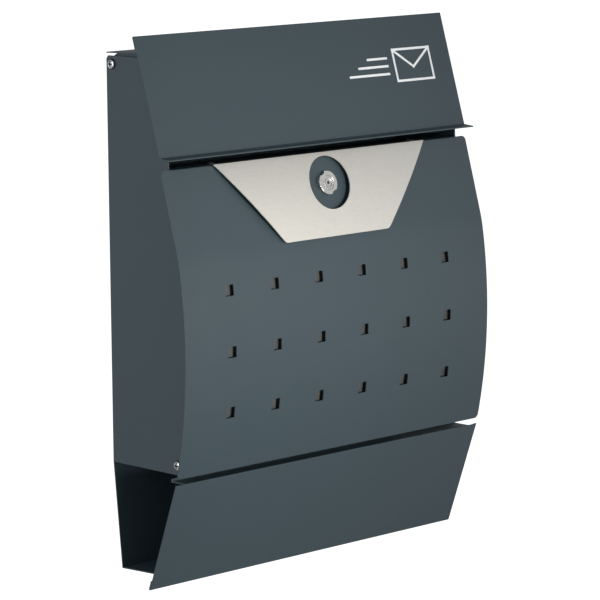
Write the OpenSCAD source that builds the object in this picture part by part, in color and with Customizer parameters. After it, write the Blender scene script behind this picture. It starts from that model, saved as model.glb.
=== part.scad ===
// Wall mounted sheet-steel mailbox with a lifting lid, a locking front door and an
// open-ended newspaper holder. Millimetres, +X to the right, the front faces -Y, +Z up.
// The origin is the centre of the four wall fixings, on the wall.
// Profiles are drawn side-on as [depth in front of the body's rear edge, height above
// the holder's lower edge] and run across the box.

/* [Box] */
// Width of the lid, door and holder fronts
front_w = 350; // [330:1:370]
// Width of the body between the outer faces of its sides
body_w = 330; // [310:1:330]
// Thickness of the painted steel sheet
sheet = 1; // [0.8:0.1:1]
// Gap between the wall and the body's rear edge
standoff = 6; // [6:0.5:10]

/* [Lid] */
// Height of the lid's top edge above the holder's lower edge
lid_top_z = 444.8; // [440:0.1:446]
// Length of the lid's forward lip
lip_len = 10.6; // [8:0.1:12]
// Depth of the folded hem along the lid's top edge
hem_h = 10; // [8:0.5:11]

/* [Door] */
// Height of the door's top edge
door_top_z = 340.6; // [340:0.1:341]
// Radius of the door's bulge
bulge_r = 430; // [425:1:440]
// Corner radius of the door
door_corner_r = 4; // [3:0.5:6]
// Side of one square hole
window_hole = 9; // [7:0.5:10]
// Distance between columns of holes
hole_pitch_x = 49.8; // [45:0.1:52]
// Distance between rows of holes
hole_pitch_z = 49.3; // [46:0.1:50]
// Gap between the door and the sheet behind its holes
window_gap = 3.6; // [2:0.2:4]

/* [Trim plate] */
// Width of the stainless plate along its top edge
trim_top_w = 241.6; // [220:0.2:250]
// Width of the plate along its bottom edge
trim_low_w = 119; // [100:0.2:130]
// Height of the plate along the slope
trim_h = 70; // [66:0.5:74]
// Radius of the hole around the lock
trim_hole_r = 22.5; // [18:0.5:23]

// Rise of the plate's middle above its top and bottom edges
trim_bulge = 2.4; // [1:0.1:3]

/* [Lock] */
// Radius of the lock's bezel
bezel_r = 10.4; // [9.5:0.1:12]
// Length of the cam from the lock's axis
cam_len = 20; // [17:0.5:21]

/* [Newspaper holder] */
// Height of the holder's front panel
holder_top_z = 91; // [89:0.1:91]
// Depth of the panel's top flange
flange_d = 17.2; // [15:0.1:17.4]

// Height of the lip behind the flange
flange_lip = 2; // [1:0.1:2.2]

/* [Wall fixings] */
// Distance between the fixing holes across the box
fix_x = 240; // [200:1:260]
// Distance between the fixing holes up the box
fix_z = 240; // [200:1:250]
// Radius of a fixing hole
fix_r = 3.5; // [2.5:0.1:4]

/* [Hidden] */
$fn = 48;
fine = 720;              // segments of the long bulge arcs
over = 2;                // how far a cutter runs past what it cuts
lap = 0.02;              // overlap between joined sheets, so that they are one solid

// frame
mount_z = 270;           // height of the fixing pattern's centre

// body
half_body = body_w / 2;
half_front = front_w / 2;
body_low_z = 96.8;
body_top_z = 427;
side_gap = 0.6;          // between a side's front edge and the door or lid
side_chamfer = 2.2;      // clears the lid's top plate as it swings back
toe_r = 10.4;            // side panel's lower front corner, round the door's pivot
rear_flange_w = 12;
rear_flange_top = 409;
back_z = [97.9, 424];
floor_d = 67;
floor_lip = 10;
spacer_r = 10;
back_notch = [8, 14];

// lid
lid_fold = [73.1, 350.5];
lid_tilt = 16.8;
lid_len = (lid_top_z - lid_fold[1]) / cos(lid_tilt);
lip_drop = 0.9;
hem_t = 1.1;
lid_plate_rear = [0, 429.8];
lid_plate_front = [45.6, 431.3];
lid_pivot = [6.5, 420.3];
ear_t = 1.2;
ear_nose_r = 5.5;

// door
door_top_d = 73.5;
door_tilt = 15.8;
door_flat = 66.4;
door_low_z = 96.2;
bend_r = 120;
bend_a = 9;
door_pivot = [78.2, 104.6];
door_nose_r = 6;
door_flange = 13;
door_flange_w = 325;
hinge_top_z = 150;
hinge_ear_w = 12;
hinge_foot_w = 14;
hinge_foot_z = 112;

function normal(a) = [cos(a), sin(a)];
function down_slope(a) = [sin(a), -cos(a)];
bend_start = [door_top_d, door_top_z] + door_flat * down_slope(door_tilt);
bend_c = bend_start - bend_r * normal(door_tilt);
bulge_c = bend_c + (bend_r - bulge_r) * normal(bend_a);

// pivots: the screw's head is outside, then side, washer, ear, washer and nut
screw_r = 2;
bore_play = 0.05;
screw_hole_r = 2.2;
washer_t = 0.8;
washer_r = 4.5;
nut_t = 4;
nut_r = 4;
screw_head_r = 4.2;
screw_head_h = 2.4;
screw_dome_r = 6.2;
recess_w = 1.1;
recess_len = 4.6;
recess_d = 1.2;
play = 0.1;
side_in = half_body - sheet;
ear_out = side_in - washer_t - 2 * play;
ear_in = ear_out - ear_t;
nut_out = ear_in - washer_t - 2 * play;

// lock, in the frame of the door's slope: y up the slope, z out of the door
lock_down = 25.7;
lock_at = [door_top_d, door_top_z] + lock_down * down_slope(door_tilt);
bezel_h = 3.5;
bezel_draft = 0.5;
notch = [1.8, 4.5];      // depth and width of the bezel's two notches
notch_turns = [120, 300];
barrel_r = 8.5;
barrel_len = 16.2;
plug_r = 6;
plug_len = 18.6;
plug_face = 3.2;
tang = 6;
cam_t = 1.6;
cam_r = 6;
lock_nut_h = 3.5;
lock_nut_r = 12.7;
cam_screw_r = 4;
cam_screw_h = 2.2;
key_ring = [3.1, 4.2];
key_ring_d = 0.8;
rail_y = [10, 24.5];
rail_z = -17.8;
rail_leg = 12;

// trim and window
trim_gap = 1.8;
trim_t = 1;
trim_bend_r = trim_h * trim_h / (8 * trim_bulge) + trim_bulge / 2;
trim_bend_c = [door_top_d, door_top_z] + trim_h / 2 * down_slope(door_tilt)
    + (trim_gap + trim_bulge - trim_bend_r) * normal(door_tilt);
trim_corner_r = 6.5;
corner_steps = 8;
pad_size = [16, 10];
pad_at = [[84, 10], [36, -34]];
window_t = 0.8;
window_z = [113, 259];
window_w = 290;
window_rail = 1.2;
window_lip = 6;
hole_row_z = 193.7;
hole_cols = 6;
hole_rows = 3;

// holder
holder_low = [53.9, 0];
holder_top = [87.2, holder_top_z];
holder_slope = (holder_top - holder_low) / norm(holder_top - holder_low);
holder_in = [-holder_slope[1], holder_slope[0]];
channel_leg = [11.6, 23];
channel = [
    [0, 126], [0, 97], [8.6, 9.4],
    holder_low + sheet * holder_in + channel_leg[0] * holder_slope,
    holder_low + sheet * holder_in + channel_leg[1] * holder_slope
];
channel_tab_w = 300;
holder_hem = 8;

// rivets
rivet_r = 1.6;
rivet_hole_r = 1.65;
rivet_head_r = 3.2;
rivet_head_h = 1;
rivet_rows = [130, 250, 370];
holder_rivet_x = [-130, -45, 45, 130];
holder_rivet_z = 112;
stiff_rivet_x = 114.4;
stiff_rivet_d = 66;
stiff_leg = 10;
stiff_w = 280;

// pictogram, in the frame of the lid's slope from its fold
pic_line = 2;
pic_t = 0.3;
pic_size = [44, 27];
pic_corner = [106.5, 42.5];
speed_lines = [46, 34, 22];

// ---------- helpers ----------

// Runs a side-on profile across the box, w wide and centred on x = at.
module across(w, at = 0) {
    translate([at, -standoff, -mount_z])
        rotate([90, 0, -90])
            linear_extrude(w, center = true)
                children();
}

// Places children at a point of the side view, with their z axis along +X.
module at_side(p, x = 0) {
    translate([x, -standoff - p[0], p[1] - mount_z])
        rotate([0, 90, 0])
            children();
}

// Places children in the frame of a slope: x across, y up the slope, z outwards.
module on_slope(p, tilt) {
    translate([0, -standoff - p[0], p[1] - mount_z])
        rotate([90 - tilt, 0, 0])
            children();
}

// Places children at a point seen from behind, with their z axis along -Y (inwards).
module from_back(x, d, z) {
    translate([x, -standoff - d, z - mount_z])
        rotate([90, 0, 0])
            children();
}

module both_sides() {
    children();
    mirror([1, 0, 0])
        children();
}

function unit(v) = v / norm(v);
// Height of the lid's top plate at depth d.
function lid_plate_at(d) =
    lid_plate_rear[1] + d * (lid_plate_front[1] - lid_plate_rear[1]) / lid_plate_front[0];
function left_of(v) = [-v[1], v[0]];
// Offset of point i of a path by t to its left, with a mitred corner.
function beside(p, i, t) =
    let (n = len(p) - 1,
         a = left_of(unit(i == 0 ? p[1] - p[0] : p[i] - p[i - 1])),
         b = left_of(unit(i == n ? p[n] - p[n - 1] : p[i + 1] - p[i])))
    p[i] + t * (a + b) / (1 + a * b);

// Outline of a bent strip: the path, and its copy t to the left.
module strip(path, t) {
    last = len(path) - 1;
    polygon(concat(path, [for (i = [last:-1:0]) beside(path, i, t)]));
}

// The side view of everything at least off behind the door's outer face.
module behind_door(off, grow = 0) {
    top = door_top_z + grow;
    low = door_low_z - grow;
    straight_z = bend_start[1] - off * sin(door_tilt);
    bulge_z = bend_start[1] - bend_r * (sin(door_tilt) - sin(bend_a)) - off * sin(bend_a);
    top_d = door_top_d - grow * tan(door_tilt) - off / cos(door_tilt);
    straight_d = bend_start[0] - off * cos(door_tilt);
    polygon([
        [-grow, straight_z - over], [straight_d - over, straight_z - over],
        [straight_d, straight_z], [top_d, top], [-grow, top]
    ]);
    intersection() {
        translate(bend_c)
            circle(bend_r - off, $fn = fine);
        translate([-grow, bulge_z])
            square([bulge_r, straight_z - bulge_z]);
    }
    intersection() {
        translate(bulge_c)
            circle(bulge_r - off, $fn = fine);
        translate([-grow, low])
            square([bulge_r, bulge_z - low]);
    }
}

// A sheet t thick that follows the door's curve, off behind its outer face.
module door_skin(off, t) {
    difference() {
        behind_door(off);
        behind_door(off + t, over);
    }
}

module band(z0, z1, d0 = -over) {
    translate([d0, z0])
        square([bulge_r, z1 - z0]);
}

// A rectangle with round corners, centred.
module round_rect(w, h, r) {
    polygon([for (q = [0:3], i = [0:corner_steps])
        let (turn = 90 * (q + i / corner_steps),
             sx = q == 0 || q == 3 ? 1 : -1,
             sy = q < 2 ? 1 : -1)
        [sx * (w / 2 - r) + r * cos(turn), sy * (h / 2 - r) + r * sin(turn)]]);
}

// Blind rivet along z: a head below z = 0, a shank of length len and a tail.
module rivet(len) {
    translate([0, 0, -rivet_head_h])
        cylinder(r1 = rivet_head_r - 0.8, r2 = rivet_head_r, h = rivet_head_h);
    cylinder(r = rivet_r, h = len);
    translate([0, 0, len])
        cylinder(r = rivet_head_r - 0.5, h = rivet_head_h);
}

// Pan head screw along +x of the frame: head at z = 0 and above, shank below.
module pan_screw(len) {
    difference() {
        intersection() {
            cylinder(r = screw_head_r, h = screw_head_h);
            translate([0, 0, screw_head_h - screw_dome_r])
                sphere(screw_dome_r);
        }
        for (a = [0, 90])
            rotate([0, 0, a])
                translate([-recess_len / 2, -recess_w / 2, screw_head_h - recess_d])
                    cube([recess_len, recess_w, recess_d + over]);
    }
    translate([0, 0, -len])
        cylinder(r = screw_r, h = len);
}

module pivot_screws(p) {
    shank = half_body - nut_out + nut_t + 1;
    both_sides()
        at_side(p, half_body)
            pan_screw(shank);
}

module pivot_washers(p) {
    both_sides()
        for (x = [side_in - play - washer_t, ear_in - play - washer_t])
            at_side(p, x)
                difference() {
                    cylinder(r = washer_r, h = washer_t);
                    translate([0, 0, -over])
                        cylinder(r = screw_r + play, h = washer_t + 2 * over);
                }
}

module pivot_nuts(p) {
    both_sides()
        at_side(p, nut_out - nut_t)
            difference() {
                union() {
                    cylinder(r = nut_r, h = nut_t, $fn = 6);
                    translate([0, 0, -0.8])
                        cylinder(r = nut_r - 1, h = 0.8);
                }
                translate([0, 0, -over])
                    cylinder(r = screw_r, h = nut_t + 2 * over);
            }
}

// ---------- body ----------

module back_panel() {
    color([0.25, 0.28, 0.3])
        difference() {
            from_back(0, sheet, 0)
                linear_extrude(sheet)
                    difference() {
                        translate([-side_in + play, back_z[0]])
                            square([2 * (side_in - play), back_z[1] - back_z[0]]);
                        for (s = [-1, 1])
                            translate([s * (side_in - back_notch[0] / 2), back_z[1]])
                                square([back_notch[0], 2 * back_notch[1]], center = true);
                        for (s = [-1, 1], z = rivet_rows)
                            translate([s * (half_body - rear_flange_w / 2), z])
                                circle(rivet_hole_r);
                        for (x = holder_rivet_x)
                            translate([x, holder_rivet_z])
                                circle(rivet_hole_r);
                    }
            for (sx = [-1, 1], sz = [-1, 1])
                from_back(sx * fix_x / 2, 0, mount_z + sz * fix_z / 2)
                    cylinder(r = fix_r, h = 4 * sheet);
        }
}

// Side view of a side panel: flat behind the lid and the slot, then curved behind the door.
module side_outline() {
    back_off = sheet + side_gap;
    lid_top_d = lid_fold[0] - (body_top_z - lid_fold[1]) * tan(lid_tilt);
    slot_d = door_top_d - back_off / cos(door_tilt);
    difference() {
        intersection() {
            behind_door(back_off);
            band(body_low_z, door_top_z + over, 0);
        }
        difference() {
            translate(door_pivot - [0, toe_r * 2])
                square(toe_r * 2);
            translate(door_pivot)
                circle(toe_r);
        }
    }
    polygon([
        [0, body_low_z + over], [10, body_low_z + over], [slot_d, door_top_z],
        [lid_fold[0] - back_off, lid_fold[1]],
        [lid_top_d - (sheet + side_gap + 0.4) / cos(lid_tilt), body_top_z],
        [side_chamfer, body_top_z], [0, body_top_z - side_chamfer]
    ]);
}

module side_panel() {
    difference() {
        union() {
            across(sheet, half_body - sheet / 2)
                side_outline();
            from_back(half_body - rear_flange_w, 0, body_low_z + over)
                cube([rear_flange_w - sheet / 2, rear_flange_top - body_low_z, sheet]);
        }
        for (p = [lid_pivot, door_pivot])
            at_side(p, side_in - over)
                cylinder(r = screw_hole_r, h = sheet + 2 * over);
        for (z = rivet_rows)
            from_back(half_body - rear_flange_w / 2, -over, z)
                cylinder(r = rivet_hole_r, h = sheet + 2 * over);
    }
}

module left_side_panel() {
    color([0.28, 0.3, 0.32])
        mirror([1, 0, 0])
            side_panel();
}

module right_side_panel() {
    color([0.28, 0.3, 0.32])
        side_panel();
}

// Floor between the sides, with an upturned lip in front and upturned edges at the sides.
module floor_panel() {
    rear = 2 * sheet + play;
    lip_z = body_low_z + floor_lip;
    floor_path = [[rear, lip_z], [rear, body_low_z], [floor_d, body_low_z], [floor_d, lip_z]];
    color([0.24, 0.26, 0.28]) {
        across(2 * (side_in - play))
            strip(floor_path, sheet);
        both_sides()
            across(sheet, side_in - play - sheet / 2)
                translate([rear, body_low_z + sheet])
                    square([floor_d - rear - 5, floor_lip - sheet - 1]);
    }
}

// Angle across the box behind the door's top edge, which the cam turns behind.
module strike_rail() {
    color([0.24, 0.26, 0.28])
        on_slope(lock_at, door_tilt) {
            translate([-side_in + play, rail_y[0], rail_z])
                cube([2 * (side_in - play), rail_y[1] - rail_y[0], sheet]);
            translate([-side_in + play, rail_y[1] - sheet, rail_z - rail_leg])
                cube([2 * (side_in - play), sheet, rail_leg]);
        }
}

module wall_spacers() {
    color([0.1, 0.1, 0.1])
        for (sx = [-1, 1], sz = [-1, 1])
            translate([sx * fix_x / 2, 0, sz * fix_z / 2])
                rotate([90, 0, 0])
                    difference() {
                        cylinder(r = spacer_r, h = standoff + sheet);
                        translate([0, 0, -over])
                            cylinder(r = fix_r, h = standoff + sheet + 2 * over);
                    }
}

module back_rivets() {
    color([0.7, 0.7, 0.7])
        for (s = [-1, 1], z = rivet_rows)
            from_back(s * (half_body - rear_flange_w / 2), 0, z)
                rivet(2 * sheet);
}

// ---------- newspaper holder ----------

// Leaning back and floor in one strip, with a tab riveted behind the back panel.
module holder_channel() {
    tab = [for (i = [0:1]) channel[i]];
    tray = [for (i = [1:4]) channel[i]];
    color([0.2, 0.22, 0.24])
        difference() {
            union() {
                across(channel_tab_w)
                    strip(tab, sheet);
                across(body_w)
                    strip(tray, sheet);
            }
            for (x = holder_rivet_x)
                from_back(x, -over, holder_rivet_z)
                    cylinder(r = rivet_hole_r, h = sheet + 2 * over);
        }
}

module holder_front_panel() {
    hem_low = holder_low + (sheet - lap) * holder_in;
    back_lean = sheet * holder_slope[0] / holder_slope[1];
    panel_high = holder_top - [back_lean, sheet];
    color([0.25, 0.3, 0.33]) {
        across(front_w) {
            strip([holder_low, panel_high], sheet);
            strip([hem_low, hem_low + holder_hem * holder_slope], sheet);
        }
        across(body_w)
            translate([holder_top[0] - flange_d, holder_top[1] - sheet]) {
                square([flange_d - sheet, sheet]);
                square([sheet, sheet + flange_lip]);
            }
        across(front_w)
            polygon([panel_high - [sheet, 0.5], panel_high, holder_top, holder_top - [sheet, 0]]);
    }
}

module holder_rivets() {
    color([0.7, 0.7, 0.7])
        for (x = holder_rivet_x)
            from_back(x, 0, holder_rivet_z)
                rivet(2 * sheet);
}

// ---------- lid ----------

module lid_front_panel() {
    lip_a = asin(lip_drop / lip_len);
    lip_end = lid_fold + lip_len * [cos(lip_a), -sin(lip_a)];
    top = lid_fold - lid_len * down_slope(lid_tilt);
    inward = -normal(lid_tilt);
    hem_low = top + (hem_h + sheet) * down_slope(lid_tilt) + (sheet - lap) * inward;
    hem_top = top + (sheet - lap) * inward;
    color([0.29, 0.33, 0.36])
        across(front_w) {
            strip([top, lid_fold, lip_end], -sheet);
            strip([hem_top, hem_low], -hem_t);
        }
}

// Nearly level plate behind the lid's front, reaching back to the wall side.
module lid_top_panel() {
    color([0.28, 0.31, 0.34])
        across(body_w)
            strip([lid_plate_front, lid_plate_rear], sheet);
}

// Side view of the lid's ear: it hangs from the plate and narrows to a nose round the pivot.
module ear_outline() {
    under = sheet - lap;
    front_in = lid_fold - (sheet - lap) * normal(lid_tilt);
    ear_low = front_in - 45 * down_slope(lid_tilt);
    ear_high = front_in - (lid_len - hem_h - 6) * down_slope(lid_tilt);
    polygon([
        lid_pivot + [-3.4, 4.2], [11, lid_plate_at(11) - under],
        [ear_high[0], lid_plate_at(ear_high[0]) - under], ear_high, ear_low,
        lid_pivot + [2, -ear_nose_r + 0.4]
    ]);
}

module lid_ear() {
    difference() {
        union() {
            across(ear_t, ear_in + ear_t / 2)
                ear_outline();
            at_side(lid_pivot, ear_in)
                cylinder(r = ear_nose_r, h = ear_t);
        }
        at_side(lid_pivot, ear_in - over)
            cylinder(r = screw_r + bore_play, h = ear_t + 2 * over);
    }
}

module lid_left_ear() {
    color([0.28, 0.31, 0.34])
        mirror([1, 0, 0])
            lid_ear();
}

module lid_right_ear() {
    color([0.28, 0.31, 0.34])
        lid_ear();
}

// One printed stroke between two points of the lid's face.
module stroke(a, b) {
    d = b - a;
    translate(a)
        rotate([0, 0, atan2(d[1], d[0])])
            translate([-pic_line / 2, -pic_line / 2])
                square([norm(d) + pic_line, pic_line]);
}

// A plain envelope with three speed lines beside it.
module lid_pictogram() {
    w = pic_size[0];
    h = pic_size[1];
    fold = [w / 2, h * 0.42];
    color([0.92, 0.93, 0.93])
        on_slope(lid_fold, lid_tilt)
            translate([pic_corner[0], pic_corner[1], 0])
                linear_extrude(pic_t) {
                    stroke([0, 0], [w, 0]);
                    stroke([w, 0], [w, h]);
                    stroke([w, h], [0, h]);
                    stroke([0, h], [0, 0]);
                    stroke([0, h], fold);
                    stroke(fold, [w, h]);
                    for (i = [0:len(speed_lines) - 1])
                        stroke([-9 - speed_lines[i], h * (i + 1) / 4], [-9, h * (i + 1) / 4]);
                }
}

module lid_pivot_screws() {
    color([0.8, 0.8, 0.8])
        pivot_screws(lid_pivot);
}

module lid_pivot_washers() {
    color([0.9, 0.9, 0.85])
        pivot_washers(lid_pivot);
}

module lid_pivot_nuts() {
    color([0.75, 0.75, 0.75])
        pivot_nuts(lid_pivot);
}

// ---------- door ----------

module door_panel() {
    door_h = door_top_z - door_low_z;
    color([0.27, 0.3, 0.31])
        difference() {
            union() {
                intersection() {
                    across(front_w + 2 * over)
                        difference() {
                            behind_door(0, over);
                            behind_door(sheet, 2 * over);
                        }
                    from_back(0, 0, (door_top_z + door_low_z) / 2)
                        linear_extrude(200)
                            round_rect(front_w, door_h, door_corner_r);
                }
                across(door_flange_w)
                    translate([door_top_d - sheet / 2 - door_flange, door_top_z - sheet])
                        square([door_flange, sheet]);
            }
            for (c = [0:hole_cols - 1], r = [0:hole_rows - 1])
                from_back((c - (hole_cols - 1) / 2) * hole_pitch_x, 70,
                          hole_row_z + (r - (hole_rows - 1) / 2) * hole_pitch_z)
                    translate([-window_hole / 2, -window_hole / 2, 0])
                        cube([window_hole, window_hole, 60]);
            on_slope(lock_at, door_tilt)
                cylinder(r = barrel_r + play, h = 10, center = true);
            both_sides()
                translate([stiff_rivet_x, -standoff - stiff_rivet_d, door_top_z - mount_z])
                    cylinder(r = rivet_hole_r, h = 6 * sheet, center = true);
        }
}

// Angle under the door's top flange.
module door_stiffener() {
    corner = [door_top_d + sheet * tan(door_tilt) - (sheet + lap) / cos(door_tilt),
              door_top_z - sheet];
    leg = corner + stiff_leg * down_slope(door_tilt);
    color([0.24, 0.26, 0.28])
        difference() {
            across(stiff_w)
                strip([corner - [door_flange - 2, 0], corner, leg], -sheet);
            both_sides()
                translate([stiff_rivet_x, -standoff - stiff_rivet_d, door_top_z - mount_z])
                    cylinder(r = rivet_hole_r, h = 6 * sheet, center = true);
        }
}

module stiffener_rivets() {
    color([0.8, 0.8, 0.8])
        both_sides()
            translate([stiff_rivet_x, -standoff - stiff_rivet_d, door_top_z - mount_z])
                mirror([0, 0, 1])
                    rivet(2 * sheet);
}

// Hinge: an ear beside the body's side, and a curved foot on the door's back.
module door_hinge() {
    off = sheet + lap;
    difference() {
        union() {
            across(ear_t, ear_in + ear_t / 2) {
                intersection() {
                    door_skin(off, hinge_ear_w);
                    band(door_pivot[1] - door_nose_r, hinge_top_z);
                }
                translate(door_pivot)
                    circle(door_nose_r);
            }
            across(hinge_foot_w, ear_in - hinge_foot_w / 2)
                intersection() {
                    door_skin(off, ear_t);
                    band(hinge_foot_z, hinge_top_z);
                }
        }
        at_side(door_pivot, ear_in - over)
            cylinder(r = screw_r + bore_play, h = ear_t + 2 * over);
    }
}

module door_left_hinge() {
    color([0.24, 0.26, 0.28])
        mirror([1, 0, 0])
            door_hinge();
}

module door_right_hinge() {
    color([0.24, 0.26, 0.28])
        door_hinge();
}

// Translucent plastic sheet behind the holes.
module window_sheet() {
    color([0.45, 0.44, 0.42])
        across(window_w)
            intersection() {
                door_skin(sheet + window_gap, window_t);
                band(window_z[0], window_z[1]);
            }
}

// Rail on the door's back that holds one edge of the sheet: foot beyond it, lip behind it.
module window_rail(edge, way) {
    foot = [edge + way * play, edge + way * (play + window_rail)];
    lip = [edge - way * window_lip, edge + way * (play + window_rail)];
    across(window_w) {
        intersection() {
            door_skin(sheet, window_gap + window_t + play + 1);
            band(min(foot), max(foot));
        }
        intersection() {
            door_skin(sheet + window_gap + window_t + play, 1);
            band(min(lip), max(lip));
        }
    }
}

module window_top_rail() {
    color([0.24, 0.26, 0.28])
        window_rail(window_z[1], 1);
}

module window_low_rail() {
    color([0.24, 0.26, 0.28])
        window_rail(window_z[0], -1);
}

// Trapezium with round lower corners, drawn from the lock's axis.
module trim_outline() {
    top = lock_down;
    low = lock_down - trim_h;
    half = trim_low_w / 2;
    lean = atan2(trim_h, (trim_top_w - trim_low_w) / 2);
    centre = [half - trim_corner_r * tan(lean / 2), low + trim_corner_r];
    corner = [for (i = [0:corner_steps])
        centre + trim_corner_r * [sin(lean * i / corner_steps), -cos(lean * i / corner_steps)]];
    polygon(concat(
        corner,
        [[trim_top_w / 2, top], [-trim_top_w / 2, top]],
        [for (i = [corner_steps:-1:0]) [-corner[i][0], corner[i][1]]]
    ));
}

// Everything behind the plate's inner face, grown by off.
module behind_trim(off) {
    across(trim_top_w + 2 * over)
        translate(trim_bend_c)
            circle(trim_bend_r + off, $fn = fine);
}

// Gently bulged plate with a round hole for the lock.
module trim_plate() {
    color([0.8, 0.79, 0.76])
        difference() {
            intersection() {
                behind_trim(trim_t);
                on_slope(lock_at, door_tilt)
                    linear_extrude(trim_gap + trim_bulge + trim_t + over)
                        difference() {
                            trim_outline();
                            circle(trim_hole_r, $fn = 96);
                        }
            }
            behind_trim(0);
        }
}

module trim_pads() {
    color([0.12, 0.12, 0.12])
        intersection() {
            behind_trim(0);
            on_slope(lock_at, door_tilt)
                both_sides()
                    for (p = pad_at)
                        translate(p)
                            cube([pad_size[0], pad_size[1], trim_gap + trim_bulge + over]);
        }
}

module door_pivot_screws() {
    color([0.8, 0.8, 0.8])
        pivot_screws(door_pivot);
}

module door_pivot_washers() {
    color([0.9, 0.9, 0.85])
        pivot_washers(door_pivot);
}

module door_pivot_nuts() {
    color([0.75, 0.75, 0.75])
        pivot_nuts(door_pivot);
}

// ---------- lock ----------

module lock_housing() {
    color([0.85, 0.85, 0.85])
        on_slope(lock_at, door_tilt)
            difference() {
                union() {
                    cylinder(r1 = bezel_r, r2 = bezel_r - bezel_draft, h = bezel_h, $fn = 96);
                    translate([0, 0, -barrel_len])
                        cylinder(r = barrel_r, h = barrel_len + 0.5);
                }
                translate([0, 0, -barrel_len - over])
                    cylinder(r = plug_r + bore_play, h = barrel_len + bezel_h + 2 * over);
                for (a = notch_turns)
                    rotate([0, 0, a])
                        translate([bezel_r - notch[0], -notch[1] / 2, -lap])
                            cube([over, notch[1], bezel_h + over]);
            }
}

module lock_nut() {
    color([0.7, 0.7, 0.7])
        on_slope(lock_at, door_tilt)
            translate([0, 0, -sheet - lock_nut_h])
                difference() {
                    cylinder(r = lock_nut_r, h = lock_nut_h, $fn = 6);
                    translate([0, 0, -over])
                        cylinder(r = barrel_r, h = lock_nut_h + 2 * over);
                }
}

// Turning core: a ring keyway round a centre post, and a square tang behind for the cam.
module lock_plug() {
    color([0.8, 0.8, 0.8])
        on_slope(lock_at, door_tilt)
            difference() {
                union() {
                    translate([0, 0, -plug_len])
                        cylinder(r = plug_r, h = plug_len + plug_face);
                    translate([-tang / 2, -tang / 2, -plug_len - cam_t])
                        cube([tang, tang, cam_t + 0.5]);
                }
                translate([0, 0, plug_face - key_ring_d])
                    difference() {
                        cylinder(r = key_ring[1], h = key_ring_d + over);
                        translate([0, 0, -over])
                            cylinder(r = key_ring[0], h = key_ring_d + 3 * over);
                    }
            }
}

module lock_cam() {
    color([0.7, 0.7, 0.72])
        on_slope(lock_at, door_tilt)
            translate([0, 0, -plug_len - cam_t])
                linear_extrude(cam_t)
                    difference() {
                        union() {
                            circle(cam_r + 2);
                            translate([0, -cam_r])
                                square([cam_len - 3, 2 * cam_r]);
                            translate([cam_len - 3, -cam_r + 3])
                                square([3, 2 * cam_r - 6]);
                            for (s = [-1, 1])
                                translate([cam_len - 3, s * (cam_r - 3)])
                                    circle(3);
                        }
                        square(tang + 0.04, center = true);
                    }
}

module cam_screw() {
    color([0.75, 0.75, 0.75])
        on_slope(lock_at, door_tilt)
            translate([0, 0, -plug_len - cam_t - cam_screw_h - 0.02])
                difference() {
                    cylinder(r1 = cam_screw_r - 0.5, r2 = cam_screw_r, h = cam_screw_h);
                    for (a = [0, 90])
                        rotate([0, 0, a])
                            translate([-recess_len / 2, -recess_w / 2, -0.01])
                                cube([recess_len, recess_w, recess_d]);
                }
}

back_panel();
left_side_panel();
right_side_panel();
floor_panel();
strike_rail();
wall_spacers();
back_rivets();
holder_channel();
holder_front_panel();
holder_rivets();
lid_front_panel();
lid_top_panel();
lid_left_ear();
lid_right_ear();
lid_pictogram();
lid_pivot_screws();
lid_pivot_washers();
lid_pivot_nuts();
door_panel();
door_stiffener();
stiffener_rivets();
door_left_hinge();
door_right_hinge();
window_sheet();
window_top_rail();
window_low_rail();
trim_plate();
trim_pads();
door_pivot_screws();
door_pivot_washers();
door_pivot_nuts();
lock_housing();
lock_nut();
lock_plug();
lock_cam();
cam_screw();
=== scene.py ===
"""Looks of a wall mounted sheet-steel mailbox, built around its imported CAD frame."""

import math

import bmesh
import bpy
from mathutils import Matrix, Vector


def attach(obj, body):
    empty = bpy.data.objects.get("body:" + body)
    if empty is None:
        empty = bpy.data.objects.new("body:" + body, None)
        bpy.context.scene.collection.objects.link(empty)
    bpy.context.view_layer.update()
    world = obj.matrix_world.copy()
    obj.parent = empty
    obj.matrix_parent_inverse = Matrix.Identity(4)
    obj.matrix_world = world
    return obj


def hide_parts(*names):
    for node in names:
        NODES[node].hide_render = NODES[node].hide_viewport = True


bl_info = {
    "name": "Wall mailbox",
    "version": (1, 0, 0),
    "blender": (4, 5, 0),
    "location": "3D View > Sidebar > Mailbox",
    "description": "Bends, fits and finishes the sheet-steel pieces of a wall mounted mailbox",
    "category": "Object",
}

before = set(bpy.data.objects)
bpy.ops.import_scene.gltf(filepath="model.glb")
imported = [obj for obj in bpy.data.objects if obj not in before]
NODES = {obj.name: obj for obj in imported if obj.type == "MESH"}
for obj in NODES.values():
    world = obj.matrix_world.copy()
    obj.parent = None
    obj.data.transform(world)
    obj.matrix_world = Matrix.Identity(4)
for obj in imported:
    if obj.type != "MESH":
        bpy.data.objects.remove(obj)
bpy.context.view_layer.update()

MM = 0.001
# The side view has its zero at the body's rear edge and the holder's lower edge.
WALL_GAP = 6.0
FIXING_Z = 270.0

# Folds: steps round a bend, and the outside radius of a hem, nearly a half circle
BEND_STEPS = 4
HEM_THICK = 2.1
HEM_R = HEM_THICK * 0.49

# Lid, in the side view: [depth, height]
LID_FOLD = Vector((73.1, 350.5))
LID_FOLD_R = 0.6
LID_FOLD_STEPS = 5
LID_TILT = math.radians(16.8)
LID_TOP_Z = 444.8
LIP_LENGTH = 10.6
LIP_DROP = 0.9
LID_HEM = 11.0

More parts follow.
